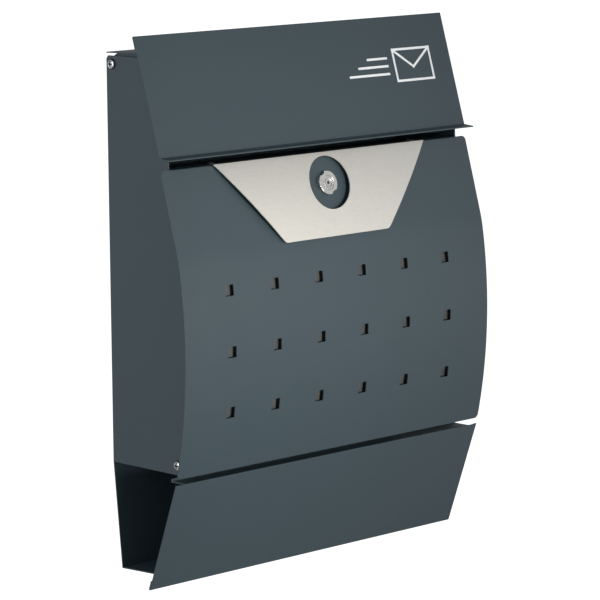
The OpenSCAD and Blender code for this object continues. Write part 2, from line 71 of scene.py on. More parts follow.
# Door
DOOR_TOP = Vector((73.5, 340.6))
DOOR_TILT = math.radians(15.8)
DOOR_FLAT = 66.4
DOOR_LOW_Z = 96.2
BEND_R = 120.0
BEND_TILT = math.radians(9.0)
BEND_SPIN_STEPS = 6
BULGE_R = 430.0
BULGE_SPIN_STEPS = 44
DOOR_CORNER = 4.0
DOOR_CORNER_CUTS = 6
DOOR_FLANGE = (13.0, 162.5)    # depth and half width
DOOR_FOLD_R = 1.2
HOLE_SIDE = 9.0
HOLE_PITCH = (49.8, 49.3)
HOLE_COLUMNS, HOLE_ROWS = 6, 3
HOLE_ROW_Z = 193.7            # height of the middle row

# Lock and trim, down the door's slope from its top edge
LOCK_DOWN = 25.7
BEZEL_EDGE = 0.3
PLUG_EDGE = 0.2
PLUG_FACE = 3.2
# Painted keyhole shade: a thin near-black disc on the plug's face, as (radius, height) points,
# stands in for the shade inside the key's hole
KEYHOLE_SHADE_PROFILE = ((0, 0.02), (1.20, 0.02), (1.30, 0.06), (1.30, -0.10), (0, -0.10))
POST_STEPS = 24
POST_EDGE = 0.02
PIN_COUNT = 7
PIN_RING = (3.65, 2.6)        # radius and height of the middle of the pins
PIN_RADII = (0.42, 0.36)
PIN_HEIGHT = 0.5
PIN_SIDES = 16
PIN_EDGE = 0.06

TRIM_WIDTHS = (241.6, 119.0)
TRIM_HEIGHT = 70.0
TRIM_CORNER = 6.5
TRIM_CORNER_STEPS = 8
TRIM_HOLE = 22.5
TRIM_HOLE_STEPS = 96
TRIM_GAP = 1.8
TRIM_SHEET = 1.0
TRIM_EDGE = 0.15
TRIM_BULGE = 2.4
TRIM_SLICES = 28

# Newspaper holder
HOLDER_LOW = Vector((53.9, 0.0))
HOLDER_TOP = Vector((87.2, 91.0))
HOLDER_FOLD_R = 0.9
HOLDER_FLANGE = (17.2, 165.0)  # depth with the lip, and half width
FLANGE_LIP = 2.0
LIP_SHEET = 1.0
HOLDER_HEM = 8.0
HALF_FRONT = 175.0

# Pivot screws and rivets
HALF_BODY = 165.0
HEAD_HEIGHT = 2.4
SCREW_EDGE = 0.12
RIVET_EDGE = 0.15
# Painted shade in the screws' cross recess: the sizes below pick the wall and floor faces that
# get a near-black finish
RECESS_DEPTH = 1.2
RECESS_REACH = 3.0            # the cross ends well inside this radius
RIM_BAND = 0.2                # depth below the head's top that stays bright
FLOOR_BAND = 0.1              # height above the recess's floor that turns dark
WALL_LEAN = 0.3               # largest x part of a recess wall's normal

# Camera: yaw, pitch and roll in degrees, then depth, height and x in millimetres
CAMERA_TURN = (44.218, 9.051, -0.482)
CAMERA_AT = (1934.61, 634.64, -1834.63)
SENSOR_WIDTH = 36

# Floor: half side in metres, height in millimetres, and a glow that grows towards
# the back, from a first to a last distance in metres and a first to a last strength
FLOOR_HALF = 45
FLOOR_CELLS = 8
FLOOR_Z = -260
FLOOR_TURN = math.radians(44)
FLOOR_GLOW = (0.2, 0.8, 0.05, 0.9)

# Lights: place, width and height in metres, and power in watts; an aim is a point
# of the side view, in millimetres, and its x
KEY_AT = (-0.08, -1.5, 0.03)
KEY_AIM = (90, 225, -75)
KEY_SIDE = 0.45
KEY_SPREAD = math.radians(38)
KEY_COLOUR = (1, 0.985, 0.94)
PANEL_AIM = (50, 240)
PANELS = (("right", (1.4, -1.4, 0.15), 2.4, 2.2, 5),
          ("left", (-2.0, -0.15, 0.3), 1.0, 1.5, 16))


# ---------------------------------------------------------------- settings


class MailboxSizes(bpy.types.PropertyGroup):
    """Sizes of the sheet metal that a user may change."""

    sheet: bpy.props.FloatProperty(
        name="Sheet", description="Thickness of the steel sheet",
        default=1.0 * MM, min=0.6 * MM, max=1.5 * MM, unit="LENGTH", precision=5)
    edge_round: bpy.props.FloatProperty(
        name="Edge rounding", description="Rounding that the paint gives a cut edge",
        default=0.22 * MM, min=0.05 * MM, max=0.4 * MM, unit="LENGTH", precision=5)


class MailboxColours(bpy.types.PropertyGroup):
    """Colours and gloss of the finishes."""

    paint: bpy.props.FloatVectorProperty(
        name="Paint", description="Anthracite powder coat",
        default=(0.030, 0.050, 0.062), size=3, subtype="COLOR", min=0, max=1)
    paint_rough: bpy.props.FloatProperty(
        name="Paint roughness", description="Roughness of the powder coat",
        default=0.42, min=0.1, max=1, subtype="FACTOR")
    steel: bpy.props.FloatVectorProperty(
        name="Stainless", description="Brushed stainless steel of the trim plate",
        default=(0.70, 0.68, 0.635), size=3, subtype="COLOR", min=0, max=1)
    window: bpy.props.FloatVectorProperty(
        name="Window", description="Smoke grey plastic behind the holes",
        default=(0.066, 0.069, 0.071), size=3, subtype="COLOR", min=0, max=1)
    printed: bpy.props.FloatVectorProperty(
        name="Print", description="Silver-white print on the lid",
        default=(0.80, 0.82, 0.84), size=3, subtype="COLOR", min=0, max=1)


class MailboxStage(bpy.types.PropertyGroup):
    """Camera and light."""

    lens: bpy.props.FloatProperty(
        name="Lens", description="Focal length on a 36 mm sensor",
        default=192.32, min=20, max=400, subtype="DISTANCE_CAMERA")
    world_light: bpy.props.FloatProperty(
        name="Surroundings", description="Strength of the pale surroundings",
        default=0.32, min=0, max=5)
    key_light: bpy.props.FloatProperty(
        name="Key light", description="Power of the large front light",
        default=1.15, min=0, max=50, subtype="POWER", unit="POWER")


def sizes():
    return bpy.context.scene.mailbox_sizes


def colours():
    return bpy.context.scene.mailbox_colours


def stage_settings():
    return bpy.context.scene.mailbox_stage


# ---------------------------------------------------------------- places


def place(depth, height, x=0.0):
    """A point of the side view, in millimetres, as a point of the frame in metres."""
    return Vector((x * MM, -(WALL_GAP + depth) * MM, (height - FIXING_Z) * MM))


def down_slope(tilt):
    """Direction down a sloping face, in the side view."""
    return Vector((math.sin(tilt), -math.cos(tilt)))


def outward(tilt):
    """Direction out of a sloping face, in the side view."""
    return Vector((math.cos(tilt), math.sin(tilt)))


def slope_frame(point, tilt):
    """Matrix of a sloping face: x across, y up the slope, z out of it."""
    return Matrix.Translation(place(*point)) @ Matrix.Rotation(math.pi / 2 - tilt, 4, "X")


# ---------------------------------------------------------------- materials


class Shader:
    """A principled material whose patterns read Object coordinates."""

    def __init__(self, name, colour, roughness, metallic=0.0):
        self.material = bpy.data.materials.new(name)
        self.material.use_nodes = True
        self.material.diffuse_color = (*colour, 1)
        self.tree = self.material.node_tree
        self.bsdf = self.tree.nodes["Principled BSDF"]
        self.bsdf.inputs["Base Color"].default_value = (*colour, 1)
        self.bsdf.inputs["Roughness"].default_value = roughness
        self.bsdf.inputs["Metallic"].default_value = metallic
        self.colour = colour
        self.coords = self.tree.nodes.new("ShaderNodeTexCoord").outputs["Object"]

    def link(self, a, b):
        self.tree.links.new(a, b)

    def mapped(self, stretch=(1, 1, 1), turn=(0, 0, 0)):
        node = self.tree.nodes.new("ShaderNodeMapping")
        node.inputs["Scale"].default_value = stretch
        node.inputs["Rotation"].default_value = turn
        self.link(self.coords, node.inputs["Vector"])
        return node.outputs["Vector"]

    def noise(self, scale, detail=2.0, rough=0.5, vector=None):
        node = self.tree.nodes.new("ShaderNodeTexNoise")
        node.inputs["Scale"].default_value = scale
        node.inputs["Detail"].default_value = detail
        node.inputs["Roughness"].default_value = rough
        self.link(vector or self.coords, node.inputs["Vector"])
        return node.outputs["Fac"]

    def spots(self, scale):
        node = self.tree.nodes.new("ShaderNodeTexVoronoi")
        node.inputs["Scale"].default_value = scale
        self.link(self.coords, node.inputs["Vector"])
        return node.outputs["Distance"]

    def spread(self, value, low, high, to_low=0.0, to_high=1.0):
        """Stretches a value's range from low..high to to_low..to_high."""
        node = self.tree.nodes.new("ShaderNodeMapRange")
        for key, number in (("From Min", low), ("From Max", high),
                            ("To Min", to_low), ("To Max", to_high)):
            node.inputs[key].default_value = number
        self.link(value, node.inputs["Value"])
        return node.outputs["Result"]

    def tint(self, factor, first, second):
        """Colour that goes from first to second (a socket or a colour) with factor."""
        node = self.tree.nodes.new("ShaderNodeMix")
        node.data_type = "RGBA"
        self.link(factor, node.inputs["Factor"])
        for socket, value in ((node.inputs[6], first), (node.inputs[7], second)):
            if isinstance(value, bpy.types.NodeSocket):
                self.link(value, socket)
            else:
                socket.default_value = (*value, 1)
        return node.outputs[2]

    def times(self, factor):
        """The finish's colour, darker or lighter."""
        return tuple(min(1.0, c * factor) for c in self.colour)

    def bump(self, heights):
        """Chains (height, strength, distance) into the normal."""
        last = None
        for height, strength, distance in heights:
            node = self.tree.nodes.new("ShaderNodeBump")
            node.inputs["Strength"].default_value = strength
            node.inputs["Distance"].default_value = distance
            self.link(height, node.inputs["Height"])
            if last is not None:
                self.link(last, node.inputs["Normal"])
            last = node.outputs["Normal"]
        self.link(last, self.bsdf.inputs["Normal"])


def powder_coat():
    """Satin fine-texture powder coat: orange peel, faint clouds and a few dust specks."""
    rough = colours().paint_rough
    s = Shader("powder_coat", tuple(colours().paint), rough)
    clouds = s.spread(s.noise(7, 3, 0.55), 0.3, 0.7)
    base = s.tint(clouds, s.times(0.95), s.times(1.06))
    grain = s.spread(s.noise(2600, 1), 0.35, 0.65)
    base = s.tint(grain, base, s.times(1.10))
    specks = s.spread(s.spots(420), 0.0, 0.07, 1, 0)
    few = s.spread(s.noise(90, 1), 0.62, 0.66)
    both = s.tree.nodes.new("ShaderNodeMath")
    both.operation = "MULTIPLY"
    s.link(specks, both.inputs[0])
    s.link(few, both.inputs[1])
    base = s.tint(both.outputs[0], base, s.times(2.6))
    s.link(base, s.bsdf.inputs["Base Color"])
    s.link(s.spread(s.noise(38, 4, 0.6), 0.3, 0.7, rough - 0.035, rough + 0.045),
           s.bsdf.inputs["Roughness"])
    s.bsdf.inputs["Specular IOR Level"].default_value = 0.5
    s.bump([(s.noise(1500, 2), 0.22, 0.00006), (s.noise(420, 1), 0.12, 0.0001)])
    return s.material


def brushed_steel():
    """Fine horizontal brush lines, a little uneven, on warm grey stainless."""
    s = Shader("brushed_stainless", tuple(colours().steel), 0.45, 1.0)
    lines = s.noise(60, 5, 0.65, s.mapped((1.2, 60, 60)))
    fine = s.noise(220, 3, 0.6, s.mapped((0.8, 40, 40)))
    base = s.tint(s.spread(lines, 0.3, 0.7), s.times(0.90), s.times(1.05))
    base = s.tint(s.spread(fine, 0.35, 0.65), base, s.times(1.10))
    s.link(base, s.bsdf.inputs["Base Color"])
    s.link(s.spread(lines, 0.25, 0.75, 0.40, 0.50), s.bsdf.inputs["Roughness"])
    s.bump([(lines, 0.10, 0.00004), (fine, 0.10, 0.00003)])
    return s.material


def bright_metal(name, colour, rough, marks=1.0):
    """Plated or turned metal with small handling marks."""
    s = Shader(name, colour, rough, 1.0)
    cloud = s.noise(260, 3, 0.6)
    base = s.tint(s.spread(cloud, 0.3, 0.7), s.times(1 - 0.10 * marks), s.times(1.04))
    s.link(base, s.bsdf.inputs["Base Color"])
    s.link(s.spread(s.noise(900, 3, 0.6), 0.3, 0.7, rough * 0.8, rough * 1.3),
           s.bsdf.inputs["Roughness"])
    scratch = s.noise(500, 2, 0.5, s.mapped((1, 9, 1), (0.3, 0.5, 0.8)))
    s.bump([(scratch, 0.08 * marks, 0.00004)])
    return s.material


def smoke_plastic():
    """Matt translucent sheet: fine frosting and slight depth."""
    s = Shader("smoke_plastic", tuple(colours().window), 0.55)
    cloud = s.noise(24, 2, 0.5)
    base = s.tint(s.spread(cloud, 0.3, 0.7), s.times(0.92), s.times(1.08))
    frost = s.spread(s.noise(3200, 1), 0.35, 0.65)
    s.link(s.tint(frost, base, s.times(1.12)), s.bsdf.inputs["Base Color"])
    s.link(s.spread(s.noise(300, 2), 0.3, 0.7, 0.50, 0.62), s.bsdf.inputs["Roughness"])
    s.bsdf.inputs["Subsurface Weight"].default_value = 0.05
    s.bump([(s.noise(2400, 1), 0.15, 0.00004)])
    return s.material


def silver_print():
    """Screen-printed ink: nearly even, with tiny pinholes."""
    s = Shader("silver_print", tuple(colours().printed), 0.5)
    thin = s.spread(s.noise(1800, 2, 0.6), 0.30, 0.42)
    s.link(s.tint(thin, s.times(0.82), s.times(1.0)), s.bsdf.inputs["Base Color"])
    s.link(s.spread(s.noise(700, 2), 0.3, 0.7, 0.42, 0.58), s.bsdf.inputs["Roughness"])
    s.bump([(s.noise(1500, 2), 0.15, 0.00005)])
    return s.material


def soft_black(name, colour, rough, scale):
    """Foam tape and rubber: dull, with an open grain."""
    s = Shader(name, colour, rough)
    pores = s.spots(scale)
    s.link(s.tint(s.spread(pores, 0.1, 0.6), s.times(0.6), s.times(1.6)),
           s.bsdf.inputs["Base Color"])
    s.link(s.spread(s.noise(scale / 4, 2), 0.3, 0.7, rough - 0.08, rough + 0.05),
           s.bsdf.inputs["Roughness"])
    s.bump([(pores, 0.35, 0.0002)])
    return s.material


def nylon():
    """Undyed nylon of the washers: slightly waxy and uneven."""
    s = Shader("natural_nylon", (0.62, 0.60, 0.54), 0.45)
    s.link(s.tint(s.spread(s.noise(300, 2), 0.3, 0.7), s.times(0.9), s.times(1.05)),
           s.bsdf.inputs["Base Color"])
    s.link(s.spread(s.noise(900, 1), 0.3, 0.7, 0.4, 0.52), s.bsdf.inputs["Roughness"])
    s.bsdf.inputs["Subsurface Weight"].default_value = 0.1
    s.bump([(s.noise(1200, 1), 0.1, 0.00005)])
    return s.material


FINISHES = {}


def finish(name):
    """A finish by name, made once."""
    makers = {
        "paint": powder_coat,
        "stainless": brushed_steel,
        "chrome": lambda: bright_metal("satin_chrome", (0.72, 0.71, 0.70), 0.24, 0.6),
        "plated": lambda: bright_metal("zinc_plate", (0.60, 0.61, 0.62), 0.34),
        # Painted shade: near-black metal put in the screws' cross recesses and on the lock's
        # keyhole disc
        "keyway": lambda: bright_metal("keyway_shadow", (0.05, 0.05, 0.05), 0.5),
        "window": smoke_plastic,
        "print": silver_print,
        "foam": lambda: soft_black("foam_tape", (0.020, 0.020, 0.022), 0.85, 1400),
        "rubber": lambda: soft_black("black_rubber", (0.022, 0.022, 0.022), 0.7, 900),
        "nylon": nylon,
    }
    if name not in FINISHES:
        FINISHES[name] = makers[name]()
    return FINISHES[name]


def dress(finish_name, *nodes):
    """Gives CAD nodes that already have their right shape a finish."""
    for node in nodes:
        mesh = NODES[node].data
        mesh.materials.clear()
        mesh.materials.append(finish(finish_name))


# ---------------------------------------------------------------- mesh tools


def new_piece(name, bm, body, finish_name, replaces=(), edge=None, thick=0.0):
    """Turns a bmesh into a finished piece: thickness, rounded edges, body and finish."""
    mesh = bpy.data.meshes.new(name)
    bm.normal_update()
    bm.to_mesh(mesh)
    bm.free()
    mesh.materials.append(finish(finish_name))
    for polygon in mesh.polygons:
        polygon.use_smooth = True
    piece = bpy.data.objects.new(name, mesh)
    bpy.context.scene.collection.objects.link(piece)
    if thick:
        wall = piece.modifiers.new("thickness", "SOLIDIFY")
        wall.thickness = thick
        wall.offset = -1
        wall.use_even_offset = True
        wall.use_quality_normals = True
    rounding = piece.modifiers.new("edges", "BEVEL")
    rounding.width = edge or sizes().edge_round
    rounding.segments = 2
    rounding.limit_method = "ANGLE"
    rounding.angle_limit = math.radians(40)
    even = piece.modifiers.new("even_normals", "WEIGHTED_NORMAL")
    even.keep_sharp = True
    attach(piece, body)
    if replaces:
        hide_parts(*replaces)
    return piece


def sheet_from_side(points, half_width):
    """A flat-faced sheet through side-view points, across the box, facing out."""
    bm = bmesh.new()
    chain = [bm.verts.new(place(p[0], p[1], -half_width)) for p in points]
    edges = [bm.edges.new(pair) for pair in zip(chain, chain[1:])]
    grown = bmesh.ops.extrude_edge_only(bm, edges=edges)["geom"]
    bmesh.ops.translate(bm, verts=[g for g in grown if isinstance(g, bmesh.types.BMVert)],
                        vec=(2 * half_width * MM, 0, 0))
    return bm


def face_out(bm, probe):
    """Turns all faces over if the one nearest probe faces the wall."""
    bmesh.ops.recalc_face_normals(bm, faces=bm.faces[:])
    nearest = min(bm.faces, key=lambda f: (f.calc_center_median() - probe).length)
    if nearest.normal.y > 0:
        bmesh.ops.reverse_faces(bm, faces=bm.faces[:])


def across(edge):
    """Whether an edge runs across the box."""
    return abs((edge.verts[1].co - edge.verts[0].co).normalized().x) > 0.999


def round_bend(bm, depth, height, radius, segments=BEND_STEPS):
    """Rounds the fold that runs across the box through a side-view point."""
    spot = place(depth, height)
    fold = [e for e in bm.edges if len(e.link_faces) == 2 and across(e)
            and (e.verts[0].co.yz - spot.yz).length < 0.02 * MM]
    if not fold:
        raise RuntimeError(f"no fold at {depth:.2f}, {height:.2f}")
    turn = fold[0].calc_face_angle()
    bmesh.ops.bevel(bm, geom=fold, offset=radius * MM * math.tan(turn / 2),
                    offset_type="OFFSET", segments=segments, profile=0.5,
                    affect="EDGES", material=-1, clamp_overlap=True)


def cut(bm, at, normal, drop_outer=False):
    """Cuts every face along a plane, and may drop what lies beyond it."""
    bmesh.ops.bisect_plane(bm, geom=bm.verts[:] + bm.edges[:] + bm.faces[:], dist=1e-7,
                           plane_co=at, plane_no=normal, clear_outer=drop_outer)


def extend_rim(bm, height, half_width, *shifts):
    """Folds flanges, one after the other, out of the rim edges between two cuts."""
    for sign in (-1, 1):
        cut(bm, Vector((sign * half_width * MM, 0, 0)), (1, 0, 0))
    z = (height - FIXING_Z) * MM
    rim = [e for e in bm.edges if len(e.link_faces) == 1 and across(e)
           and all(abs(v.co.z - z) < 0.01 * MM for v in e.verts)
           and abs((e.verts[0].co.x + e.verts[1].co.x) / 2) < half_width * MM]
    if not rim:
        raise RuntimeError("no rim edges to fold a flange from")
    for shift in shifts:
        grown = bmesh.ops.extrude_edge_only(bm, edges=rim)["geom"]
        bmesh.ops.translate(bm, verts=[g for g in grown if isinstance(g, bmesh.types.BMVert)],
                            vec=shift)
        rim = [g for g in grown if isinstance(g, bmesh.types.BMEdge)
               and len(g.link_faces) == 1 and across(g)]


def softened(node, name, body, finish_name, edge=None):
    """A copy of a CAD node with its loose triangles joined and its edges rounded."""
    bm = bmesh.new()
    bm.from_mesh(NODES[node].data)
    bmesh.ops.remove_doubles(bm, verts=bm.verts[:], dist=1e-6)
    bmesh.ops.dissolve_limit(bm, angle_limit=math.radians(0.5), verts=bm.verts[:],
                             edges=bm.edges[:])
    return new_piece(name, bm, body, finish_name, (node,), edge)


def turned(profile, matrix, steps):
    """Spins a profile of (radius, height) points in millimetres about the z axis."""
    bm = bmesh.new()
    chain = [bm.verts.new((r * MM, 0, h * MM)) for r, h in profile]
    edges = [bm.edges.new(pair) for pair in zip(chain, chain[1:])]
    bmesh.ops.spin(bm, geom=chain + edges, cent=(0, 0, 0), axis=(0, 0, 1),
                   angle=2 * math.pi, steps=steps, use_merge=True)
    bmesh.ops.remove_doubles(bm, verts=bm.verts[:], dist=1e-6)
    bmesh.ops.recalc_face_normals(bm, faces=bm.faces[:])
    bmesh.ops.transform(bm, matrix=matrix, verts=bm.verts[:])
    return bm


# ---------------------------------------------------------------- operators


class MAILBOX_OT_body(bpy.types.Operator):
    """Paint the body, the tray's channel, the lid's and door's inner sheets"""

    bl_idname = "mailbox.body"
    bl_label = "Body sheets"

    def execute(self, context):
        dress("paint", "back_panel", "left_side_panel", "right_side_panel", "floor_panel",
              "strike_rail", "holder_channel", "lid_top_panel", "lid_left_ear",
              "lid_right_ear", "door_stiffener", "door_left_hinge", "door_right_hinge",
              "window_top_rail", "window_low_rail")
        dress("rubber", "wall_spacers")
        return {"FINISHED"}


class MAILBOX_OT_lid(bpy.types.Operator):
    """Bend the lid's front: a hem at the top, a lip at the bottom"""

    bl_idname = "mailbox.lid"
    bl_label = "Lid front"

    def execute(self, context):
        down, out = down_slope(LID_TILT), outward(LID_TILT)
        length = (LID_TOP_Z - LID_FOLD[1]) / math.cos(LID_TILT)
        top = LID_FOLD - length * down
        back = top - HEM_THICK * out
        dip = math.asin(LIP_DROP / LIP_LENGTH)
        lip = LID_FOLD + LIP_LENGTH * Vector((math.cos(dip), -math.sin(dip)))
        bm = sheet_from_side([back + LID_HEM * down, back, top, LID_FOLD, lip], HALF_FRONT)
        face_out(bm, place(*(top + length / 2 * down)))
        for corner in (back, top):
            round_bend(bm, *corner, HEM_R)
        round_bend(bm, *LID_FOLD, LID_FOLD_R, LID_FOLD_STEPS)
        new_piece("lid_front", bm, "lid", "paint", ("lid_front_panel",),
                  thick=sizes().sheet)
        return {"FINISHED"}


class MAILBOX_OT_door(bpy.types.Operator):
    """Roll the door's sheet, punch its square holes and fold its top flange"""

    bl_idname = "mailbox.door"
    bl_label = "Door sheet"

    def execute(self, context):
        start = DOOR_TOP + DOOR_FLAT * down_slope(DOOR_TILT)
        bend_centre = start - BEND_R * outward(DOOR_TILT)
        bulge_centre = bend_centre + (BEND_R - BULGE_R) * outward(BEND_TILT)
        low_tilt = math.asin((DOOR_LOW_Z - bulge_centre[1]) / BULGE_R)
        bm = bmesh.new()
        first = bm.verts.new(place(*DOOR_TOP, -HALF_FRONT))
        second = bm.verts.new(place(*start, -HALF_FRONT))
        bm.edges.new((first, second))
        tip = second
        for centre, angle, steps in (
                (bend_centre, DOOR_TILT - BEND_TILT, BEND_SPIN_STEPS),
                (bulge_centre, BEND_TILT - low_tilt, BULGE_SPIN_STEPS)):
            arc = bmesh.ops.spin(bm, geom=[tip], cent=place(*centre), axis=(1, 0, 0),
                                 angle=angle, steps=steps)
            tip = next(g for g in arc["geom_last"] if isinstance(g, bmesh.types.BMVert))
        bmesh.ops.remove_doubles(bm, verts=bm.verts[:], dist=1e-7)
        grown = bmesh.ops.extrude_edge_only(bm, edges=bm.edges[:])["geom"]
        bmesh.ops.translate(bm, vec=(2 * HALF_FRONT * MM, 0, 0),
                            verts=[g for g in grown if isinstance(g, bmesh.types.BMVert)])
        self.punch_holes(bm)
        self.round_corners(bm)
        extend_rim(bm, DOOR_TOP[1], DOOR_FLANGE[1], (0, DOOR_FLANGE[0] * MM, 0))
        face_out(bm, place(*(DOOR_TOP + 10 * down_slope(DOOR_TILT))))
        round_bend(bm, *DOOR_TOP, DOOR_FOLD_R)
        new_piece("door_sheet", bm, "door", "paint", ("door_panel",),
                  thick=sizes().sheet)
        return {"FINISHED"}

    def punch_holes(self, bm):
        columns = [(c - (HOLE_COLUMNS - 1) / 2) * HOLE_PITCH[0]
                   for c in range(HOLE_COLUMNS)]
        rows = [HOLE_ROW_Z + (r - (HOLE_ROWS - 1) / 2) * HOLE_PITCH[1]
                for r in range(HOLE_ROWS)]
        half = HOLE_SIDE / 2
        for x in columns:
            for side in (-half, half):
                cut(bm, Vector(((x + side) * MM, 0, 0)), (1, 0, 0))
        for z in rows:
            for side in (-half, half):
                cut(bm, place(0, z + side), (0, 0, 1))
        doomed = []
        for face in bm.faces:
            spot = face.calc_center_median() / MM
            height = spot.z + FIXING_Z
            if (min(abs(spot.x - x) for x in columns) < half
                    and min(abs(height - z) for z in rows) < half):
                doomed.append(face)
        bmesh.ops.delete(bm, geom=doomed, context="FACES")

    def round_corners(self, bm):
        r = DOOR_CORNER * MM
        for sx in (-1, 1):
            for sz, z in ((-1, DOOR_LOW_Z), (1, DOOR_TOP[1])):
                centre = Vector((sx * (HALF_FRONT * MM - r), 0, (z - FIXING_Z) * MM - sz * r))
                for step in range(1, DOOR_CORNER_CUTS + 1):
                    angle = math.radians(90 * step / (DOOR_CORNER_CUTS + 1))
                    normal = Vector((sx * math.cos(angle), 0, sz * math.sin(angle)))
                    cut(bm, centre + r * normal, normal, True)


class MAILBOX_OT_holder(bpy.types.Operator):
    """Bend the newspaper holder's front: a hem below, a flange above"""

    bl_idname = "mailbox.holder"
    bl_label = "Holder front"

    def execute(self, context):
        up = (HOLDER_TOP - HOLDER_LOW).normalized()
        back = Vector((-up[1], up[0]))
        hem = HOLDER_LOW + HEM_THICK * back
        bm = sheet_from_side([hem + HOLDER_HEM * up, hem, HOLDER_LOW, HOLDER_TOP], HALF_FRONT)
        extend_rim(bm, HOLDER_TOP[1], HOLDER_FLANGE[1],
                   (0, (HOLDER_FLANGE[0] - LIP_SHEET) * MM, 0), (0, 0, FLANGE_LIP * MM))
        face_out(bm, place(*((HOLDER_LOW + HOLDER_TOP) / 2)))
        for corner in (hem, HOLDER_LOW):
            round_bend(bm, *corner, HEM_R)
        round_bend(bm, *HOLDER_TOP, HOLDER_FOLD_R)
        new_piece("holder_front", bm, "root", "paint",
                  ("holder_front_panel",), thick=sizes().sheet)
        return {"FINISHED"}


class MAILBOX_OT_trim(bpy.types.Operator):
    """Bulge and brush the stainless plate and fit its foam pads"""

    bl_idname = "mailbox.trim"
    bl_label = "Trim plate"

    def execute(self, context):
        bm = bmesh.new()
        turns = [2 * math.pi * i / TRIM_HOLE_STEPS for i in range(TRIM_HOLE_STEPS)]
        hole = [(TRIM_HOLE * math.cos(a), TRIM_HOLE * math.sin(a)) for a in turns]
        for loop in (self.outline(), hole):
            verts = [bm.verts.new((x * MM, y * MM, 0)) for x, y in loop]
            for a, b in zip(verts, verts[1:] + verts[:1]):
                bm.edges.new((a, b))
        bmesh.ops.triangle_fill(bm, use_beauty=True, edges=bm.edges[:], normal=(0, 0, 1))
        for i in range(1, TRIM_SLICES):
            y = LOCK_DOWN - TRIM_HEIGHT * i / TRIM_SLICES
            cut(bm, (0, y * MM, 0), (0, 1, 0))
        bend = TRIM_HEIGHT ** 2 / (8 * TRIM_BULGE) + TRIM_BULGE / 2
        middle = LOCK_DOWN - TRIM_HEIGHT / 2
        for vert in bm.verts:
            reach = math.sqrt((bend + TRIM_SHEET) ** 2 - (vert.co.y / MM - middle) ** 2)
            vert.co.z = (TRIM_GAP + TRIM_BULGE - bend + reach) * MM
        bm.transform(slope_frame(DOOR_TOP + LOCK_DOWN * down_slope(DOOR_TILT), DOOR_TILT))
        face_out(bm, place(*DOOR_TOP))
        new_piece("trim_face", bm, "door", "stainless", ("trim_plate",),
                  TRIM_EDGE * MM, TRIM_SHEET * MM)
        dress("foam", "trim_pads")
        return {"FINISHED"}

    def outline(self):
        """Trapezium with round lower corners, from the lock's axis."""
        half = TRIM_WIDTHS[1] / 2
        lean = math.atan2(TRIM_HEIGHT, (TRIM_WIDTHS[0] - TRIM_WIDTHS[1]) / 2)
        x = half - TRIM_CORNER * math.tan(lean / 2)
        y = LOCK_DOWN - TRIM_HEIGHT + TRIM_CORNER
        turns = [lean * i / TRIM_CORNER_STEPS for i in range(TRIM_CORNER_STEPS + 1)]
        corner = [(x + TRIM_CORNER * math.sin(turn), y - TRIM_CORNER * math.cos(turn))
                  for turn in turns]
        top = [(TRIM_WIDTHS[0] / 2, LOCK_DOWN), (-TRIM_WIDTHS[0] / 2, LOCK_DOWN)]
        return corner + top + [(-x, y) for x, y in reversed(corner)]


class MAILBOX_OT_lock(bpy.types.Operator):
    """Finish the cam lock: housing, key ring with its pins, cam and screw"""

    bl_idname = "mailbox.lock"
    bl_label = "Cam lock"

    def execute(self, context):
        softened("lock_housing", "lock_bezel", "door", "chrome",
                 BEZEL_EDGE * MM)
        softened("lock_plug", "lock_core", "lock", "chrome", PLUG_EDGE * MM)
        dress("plated", "lock_nut", "lock_cam", "cam_screw")
        at = slope_frame(DOOR_TOP + LOCK_DOWN * down_slope(DOOR_TILT), DOOR_TILT)
        bm = bmesh.new()
        for i in range(PIN_COUNT):
            turn = Matrix.Rotation(2 * math.pi * i / PIN_COUNT, 4, "Z")
            spot = Matrix.Translation((PIN_RING[0] * MM, 0, PIN_RING[1] * MM))
            pin = bmesh.ops.create_cone(bm, cap_ends=True, segments=PIN_SIDES,
                                        radius1=PIN_RADII[0] * MM,
                                        radius2=PIN_RADII[1] * MM,
                                        depth=PIN_HEIGHT * MM, matrix=at @ turn @ spot)
            if not pin["verts"]:
                raise RuntimeError("a lock pin is missing")
        new_piece("lock_pins", bm, "lock", "plated", edge=PIN_EDGE * MM)
        # Painted shade: a near-black disc on the plug's face for the keyhole's shade
        shade_disc = turned([(r, PLUG_FACE + h) for r, h in KEYHOLE_SHADE_PROFILE], at, POST_STEPS)
        new_piece("painted_keyhole_shade", shade_disc, "lock", "keyway", edge=POST_EDGE * MM)
        return {"FINISHED"}


class MAILBOX_OT_fittings(bpy.types.Operator):
    """Finish the pivot screws, washers, nuts and rivets"""

    bl_idname = "mailbox.fittings"
    bl_label = "Screws and rivets"

    def execute(self, context):
        for node, name in (("lid_pivot_screws", "lid_screws"),
                           ("door_pivot_screws", "door_screws")):
            screws = softened(node, name, "root", "plated",
                              SCREW_EDGE * MM)
            self.paint_recess_shade(screws.data)
        softened("stiffener_rivets", "door_rivets", "door", "plated",
                 RIVET_EDGE * MM)
        dress("plated", "lid_pivot_nuts", "door_pivot_nuts", "back_rivets", "holder_rivets")
        dress("nylon", "lid_pivot_washers", "door_pivot_washers")
        return {"FINISHED"}

    def paint_recess_shade(self, mesh):
        """Paints shade into the cross recess, inside the pan heads, as a near-black finish on
        its walls and floor.
        """
        mesh.materials.append(finish("keyway"))
        middle = sum((v.co for v in mesh.vertices), Vector()) / len(mesh.vertices)
        for polygon in mesh.polygons:
            spot = polygon.center
            height = abs(spot.x) / MM - HALF_BODY
            wall = (height < HEAD_HEIGHT - RIM_BAND and abs(polygon.normal.x) < WALL_LEAN
                    and (spot.yz - middle.yz).length < RECESS_REACH * MM)
            bottom = height < HEAD_HEIGHT - RECESS_DEPTH + FLOOR_BAND
            if height > 0 and (wall or bottom):
                polygon.material_index = 1


